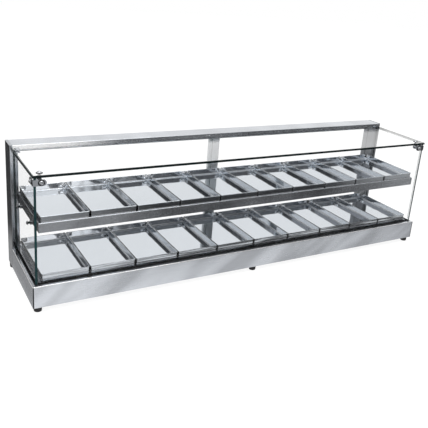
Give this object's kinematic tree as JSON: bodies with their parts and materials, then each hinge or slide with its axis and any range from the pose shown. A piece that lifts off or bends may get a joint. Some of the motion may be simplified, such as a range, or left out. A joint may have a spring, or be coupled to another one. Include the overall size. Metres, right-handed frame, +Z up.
{
  "type": "hot food display case",
  "caption": "Two-tier countertop hot food display case: steel base, glass box with corner clamps, heated shelf, lift-out pans and sliding rear doors.",
  "frame": {"origin": "on the floor under the middle of the case's footprint", "axes": "+X along the case to the right as seen from the front, +Y to the rear, +Z up"},
  "size_m": [1.84, 0.41, 0.522],
  "materials": {
    "brushed_sheet": "brushed stainless sheet",
    "polished_sheet": "bright polished stainless sheet",
    "pan_steel": "mirror-polished stainless sheet",
    "galvanised_sheet": "dull galvanised sheet",
    "heater_tube": "dark oxidised heater sheath",
    "chrome_fittings": "bright chrome plate",
    "anodised_track": "satin anodised track",
    "clear_glass": "clear toughened glass with green edges",
    "black_plastic": "black moulded plastic",
    "red_plastic": "red rocker",
    "amber_lens": "amber lens",
    "ceramic_white": "white glazed ceramic",
    "black_rubber": "black rubber"
  },
  "bodies": {
    "case": {"base_shell": "brushed_sheet", "base_bottom_cover": "galvanised_sheet", "lower_deck": "brushed_sheet", "lower_heater": "heater_tube", "upper_heater": "heater_tube", "heater_clips": "galvanised_sheet", "terminal_block": "ceramic_white", "lower_thermostat": "black_plastic", "upper_thermostat": "black_plastic", "power_switch": "black_plastic", "pilot_light": "amber_lens", "cable_gland": "black_plastic", "rubber_feet": "black_rubber", "left_upright": "polished_sheet", "right_upright": "polished_sheet", "centre_post": "brushed_sheet", "top_rail": "polished_sheet", "upper_door_track": "anodised_track", "lower_door_track": "anodised_track", "top_glass": "clear_glass", "front_glass": "clear_glass", "left_end_glass": "clear_glass", "right_end_glass": "clear_glass", "left_corner_clamp": "chrome_fittings", "right_corner_clamp": "chrome_fittings", "corner_clamp_arms": "chrome_fittings", "corner_clamp_screws": "chrome_fittings", "top_glass_clips": "black_plastic", "shelf_frame": "brushed_sheet", "shelf_deck": "brushed_sheet", "shelf_bottom_cover": "galvanised_sheet", "shelf_bolts": "chrome_fittings", "shelf_spacers": "chrome_fittings"},
    "left_door": {"left_door": "clear_glass", "left_door_pull": "chrome_fittings"},
    "right_door": {"right_door": "clear_glass", "right_door_pull": "chrome_fittings"},
    "lower_knob": {"lower_thermostat_knob": "black_plastic"},
    "upper_knob": {"upper_thermostat_knob": "black_plastic"},
    "rocker": {"power_switch_rocker": "red_plastic"},
    "pan_lower_01": {"pan_lower_01": "pan_steel"},
    "pan_lower_02": {"pan_lower_02": "pan_steel"},
    "pan_lower_03": {"pan_lower_03": "pan_steel"},
    "pan_lower_04": {"pan_lower_04": "pan_steel"},
    "pan_lower_05": {"pan_lower_05": "pan_steel"},
    "pan_lower_06": {"pan_lower_06": "pan_steel"},
    "pan_lower_07": {"pan_lower_07": "pan_steel"},
    "pan_lower_08": {"pan_lower_08": "pan_steel"},
    "pan_lower_09": {"pan_lower_09": "pan_steel"},
    "pan_lower_10": {"pan_lower_10": "pan_steel"},
    "pan_upper_01": {"pan_upper_01": "pan_steel"},
    "pan_upper_02": {"pan_upper_02": "pan_steel"},
    "pan_upper_03": {"pan_upper_03": "pan_steel"},
    "pan_upper_04": {"pan_upper_04": "pan_steel"},
    "pan_upper_05": {"pan_upper_05": "pan_steel"},
    "pan_upper_06": {"pan_upper_06": "pan_steel"},
    "pan_upper_07": {"pan_upper_07": "pan_steel"},
    "pan_upper_08": {"pan_upper_08": "pan_steel"},
    "pan_upper_09": {"pan_upper_09": "pan_steel"},
    "pan_upper_10": {"pan_upper_10": "pan_steel"}
  },
  "joints": [
    {"name": "pan_lower_01_lift", "type": "slide", "parent": "case", "child": "pan_lower_01", "axis": [0, 0, 1], "range_m": [0, 0.09]},
    {"name": "pan_lower_02_lift", "type": "slide", "parent": "case", "child": "pan_lower_02", "axis": [0, 0, 1], "range_m": [0, 0.09]},
    {"name": "pan_lower_03_lift", "type": "slide", "parent": "case", "child": "pan_lower_03", "axis": [0, 0, 1], "range_m": [0, 0.09]},
    {"name": "pan_lower_04_lift", "type": "slide", "parent": "case", "child": "pan_lower_04", "axis": [0, 0, 1], "range_m": [0, 0.09]},
    {"name": "pan_lower_05_lift", "type": "slide", "parent": "case", "child": "pan_lower_05", "axis": [0, 0, 1], "range_m": [0, 0.09]},
    {"name": "pan_lower_06_lift", "type": "slide", "parent": "case", "child": "pan_lower_06", "axis": [0, 0, 1], "range_m": [0, 0.09]},
    {"name": "pan_lower_07_lift", "type": "slide", "parent": "case", "child": "pan_lower_07", "axis": [0, 0, 1], "range_m": [0, 0.09]},
    {"name": "pan_lower_08_lift", "type": "slide", "parent": "case", "child": "pan_lower_08", "axis": [0, 0, 1], "range_m": [0, 0.09]},
    {"name": "pan_lower_09_lift", "type": "slide", "parent": "case", "child": "pan_lower_09", "axis": [0, 0, 1], "range_m": [0, 0.09]},
    {"name": "pan_lower_10_lift", "type": "slide", "parent": "case", "child": "pan_lower_10", "axis": [0, 0, 1], "range_m": [0, 0.09]},
    {"name": "pan_upper_01_lift", "type": "slide", "parent": "case", "child": "pan_upper_01", "axis": [0, 0, 1], "range_m": [0, 0.09]},
    {"name": "pan_upper_02_lift", "type": "slide", "parent": "case", "child": "pan_upper_02", "axis": [0, 0, 1], "range_m": [0, 0.09]},
    {"name": "pan_upper_03_lift", "type": "slide", "parent": "case", "child": "pan_upper_03", "axis": [0, 0, 1], "range_m": [0, 0.09]},
    {"name": "pan_upper_04_lift", "type": "slide", "parent": "case", "child": "pan_upper_04", "axis": [0, 0, 1], "range_m": [0, 0.09]},
    {"name": "pan_upper_05_lift", "type": "slide", "parent": "case", "child": "pan_upper_05", "axis": [0, 0, 1], "range_m": [0, 0.09]},
    {"name": "pan_upper_06_lift", "type": "slide", "parent": "case", "child": "pan_upper_06", "axis": [0, 0, 1], "range_m": [0, 0.09]},
    {"name": "pan_upper_07_lift", "type": "slide", "parent": "case", "child": "pan_upper_07", "axis": [0, 0, 1], "range_m": [0, 0.09]},
    {"name": "pan_upper_08_lift", "type": "slide", "parent": "case", "child": "pan_upper_08", "axis": [0, 0, 1], "range_m": [0, 0.09]},
    {"name": "pan_upper_09_lift", "type": "slide", "parent": "case", "child": "pan_upper_09", "axis": [0, 0, 1], "range_m": [0, 0.09]},
    {"name": "pan_upper_10_lift", "type": "slide", "parent": "case", "child": "pan_upper_10", "axis": [0, 0, 1], "range_m": [0, 0.09]},
    {"name": "left_door_slide", "type": "slide", "parent": "case", "child": "left_door", "axis": [1, 0, 0], "range_m": [0, 0.8]},
    {"name": "right_door_slide", "type": "slide", "parent": "case", "child": "right_door", "axis": [1, 0, 0], "range_m": [-0.8, 0]},
    {"name": "lower_thermostat_turn", "type": "hinge", "parent": "case", "child": "lower_knob", "pos_m": [0.43, 0.178, 0.0625], "axis": [0, 1, 0], "range_deg": [0, 270]},
    {"name": "upper_thermostat_turn", "type": "hinge", "parent": "case", "child": "upper_knob", "pos_m": [0.52, 0.178, 0.0625], "axis": [0, 1, 0], "range_deg": [0, 270]},
    {"name": "power_switch_rock", "type": "hinge", "parent": "case", "child": "rocker", "pos_m": [0.61, 0.175, 0.0625], "axis": [1, 0, 0], "range_deg": [-18, 0]}
  ]
}
